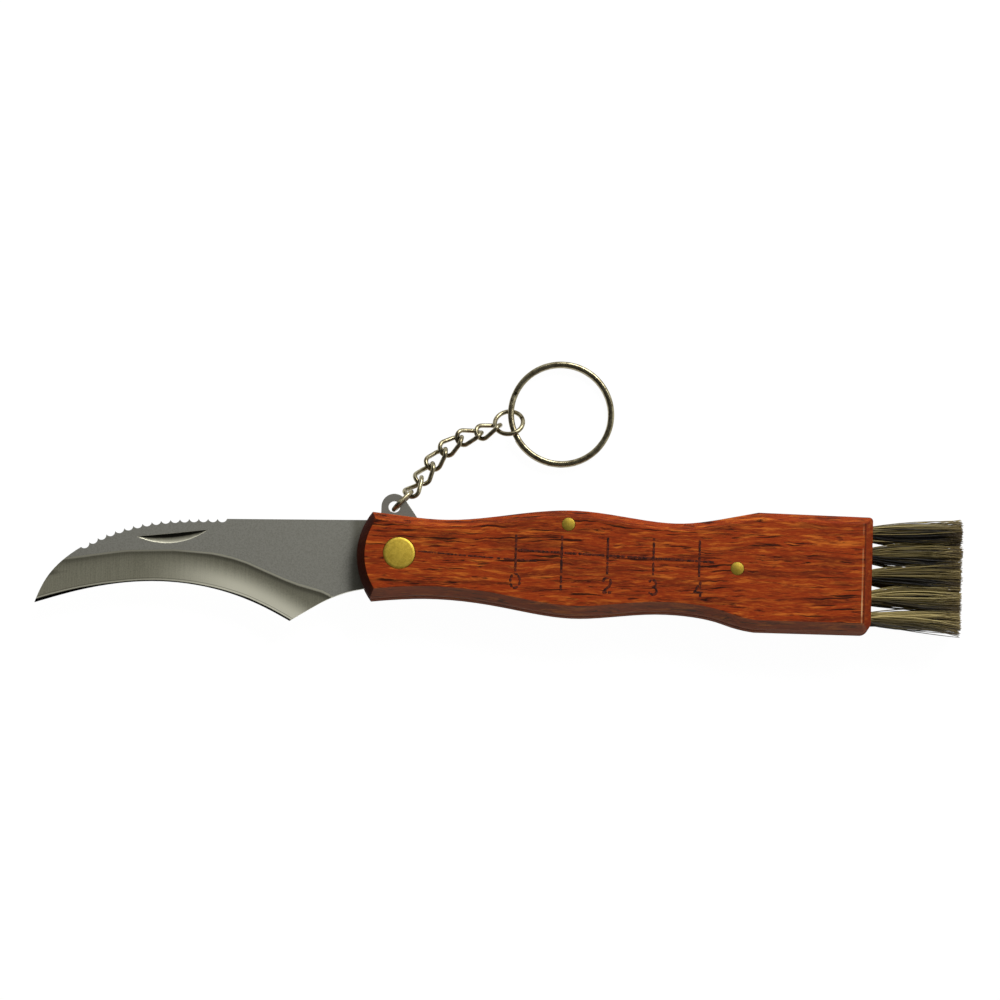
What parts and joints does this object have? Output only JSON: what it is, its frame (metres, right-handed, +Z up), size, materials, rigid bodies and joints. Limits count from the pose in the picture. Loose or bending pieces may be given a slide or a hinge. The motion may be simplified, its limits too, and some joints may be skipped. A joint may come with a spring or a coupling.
{
  "type": "folding mushroom knife",
  "caption": "Folding mushroom knife with a toothed hawkbill blade, a wooden handle with a brush in its end, and a short chain with a split ring.",
  "frame": {"origin": "on the blade pivot's axis, at the table plane that the back scale lies on", "axes": "+X along the handle from the pivot to the brush, +Y towards the knife's back, where its spring and its teeth are, +Z up from the table, out of the front scale"},
  "size_m": [0.2025, 0.0595, 0.0147],
  "materials": {
    "wood": "oiled, satin, reddish brown with dark streaks",
    "blade_steel": "satin, lines across the blade, bright edge",
    "spring_steel": "satin",
    "brass": "filed flush, worn satin",
    "chain_metal": "nickel plated, worn",
    "bristle": "stiff dark bristle with pale tan ends"
  },
  "bodies": {
    "handle": {"front_scale": "wood", "back_scale": "wood", "brush_spacer": "wood", "backspring": "spring_steel", "pivot_rivet": "brass", "washer_back": "brass", "washer_front": "brass", "mid_pin": "brass", "rear_pin": "brass", "tuft_front_1": "bristle", "tuft_front_2": "bristle", "tuft_front_3": "bristle", "tuft_front_4": "bristle", "tuft_front_5": "bristle", "tuft_back_1": "bristle", "tuft_back_2": "bristle", "tuft_back_3": "bristle", "tuft_back_4": "bristle", "tuft_back_5": "bristle"},
    "blade": {"blade": "blade_steel"},
    "link_1": {"chain_link_1": "chain_metal"},
    "link_2": {"chain_link_2": "chain_metal"},
    "link_3": {"chain_link_3": "chain_metal"},
    "link_4": {"chain_link_4": "chain_metal"},
    "link_5": {"chain_link_5": "chain_metal"},
    "link_6": {"chain_link_6": "chain_metal"},
    "link_7": {"chain_link_7": "chain_metal"},
    "jump_ring": {"jump_ring": "chain_metal"},
    "split_ring": {"split_ring": "chain_metal"}
  },
  "joints": [
    {"name": "blade_pivot", "type": "hinge", "parent": "handle", "child": "blade", "pos_m": [0, 0, 0.00725], "axis": [0, 0, 1], "range_deg": [0, 162]},
    {"name": "link_1_swing", "type": "hinge", "parent": "handle", "child": "link_1", "pos_m": [-0.0015, 0.01019, 0.00725], "axis": [0, 0, 1], "range_deg": [-10, 30]},
    {"name": "link_2_swing", "type": "hinge", "parent": "link_1", "child": "link_2", "pos_m": [0.00188, 0.01376, 0.00668], "axis": [0, 0, 1], "range_deg": [-12, 6]},
    {"name": "link_3_swing", "type": "hinge", "parent": "link_2", "child": "link_3", "pos_m": [0.00403, 0.017, 0.0045], "axis": [0.8572, -0.515, 0], "range_deg": [0, 12]},
    {"name": "link_4_swing", "type": "hinge", "parent": "link_3", "child": "link_4", "pos_m": [0.00611, 0.02056, 0.00279], "axis": [0, 0, -1], "range_deg": [-22, 8]},
    {"name": "link_5_swing", "type": "hinge", "parent": "link_4", "child": "link_5", "pos_m": [0.00888, 0.02401, 0.00228], "axis": [0.6293, -0.7771, 0], "range_deg": [0, 16]},
    {"name": "link_6_swing", "type": "hinge", "parent": "link_5", "child": "link_6", "pos_m": [0.01232, 0.02686, 0.0024], "axis": [0, 0, 1], "range_deg": [-6, 22]},
    {"name": "link_7_swing", "type": "hinge", "parent": "link_6", "child": "link_7", "pos_m": [0.01662, 0.02803, 0.00248], "axis": [0.3907, -0.9205, 0], "range_deg": [0, 10]},
    {"name": "jump_ring_swing", "type": "hinge", "parent": "link_7", "child": "jump_ring", "pos_m": [0.0207, 0.02982, 0.00249], "axis": [0, 0, -1], "range_deg": [-14, 6]},
    {"name": "split_ring_swing", "type": "hinge", "parent": "jump_ring", "child": "split_ring", "pos_m": [0.02309, 0.03062, 0.0023], "axis": [0, 0, 1], "range_deg": [-6, 6]}
  ]
}
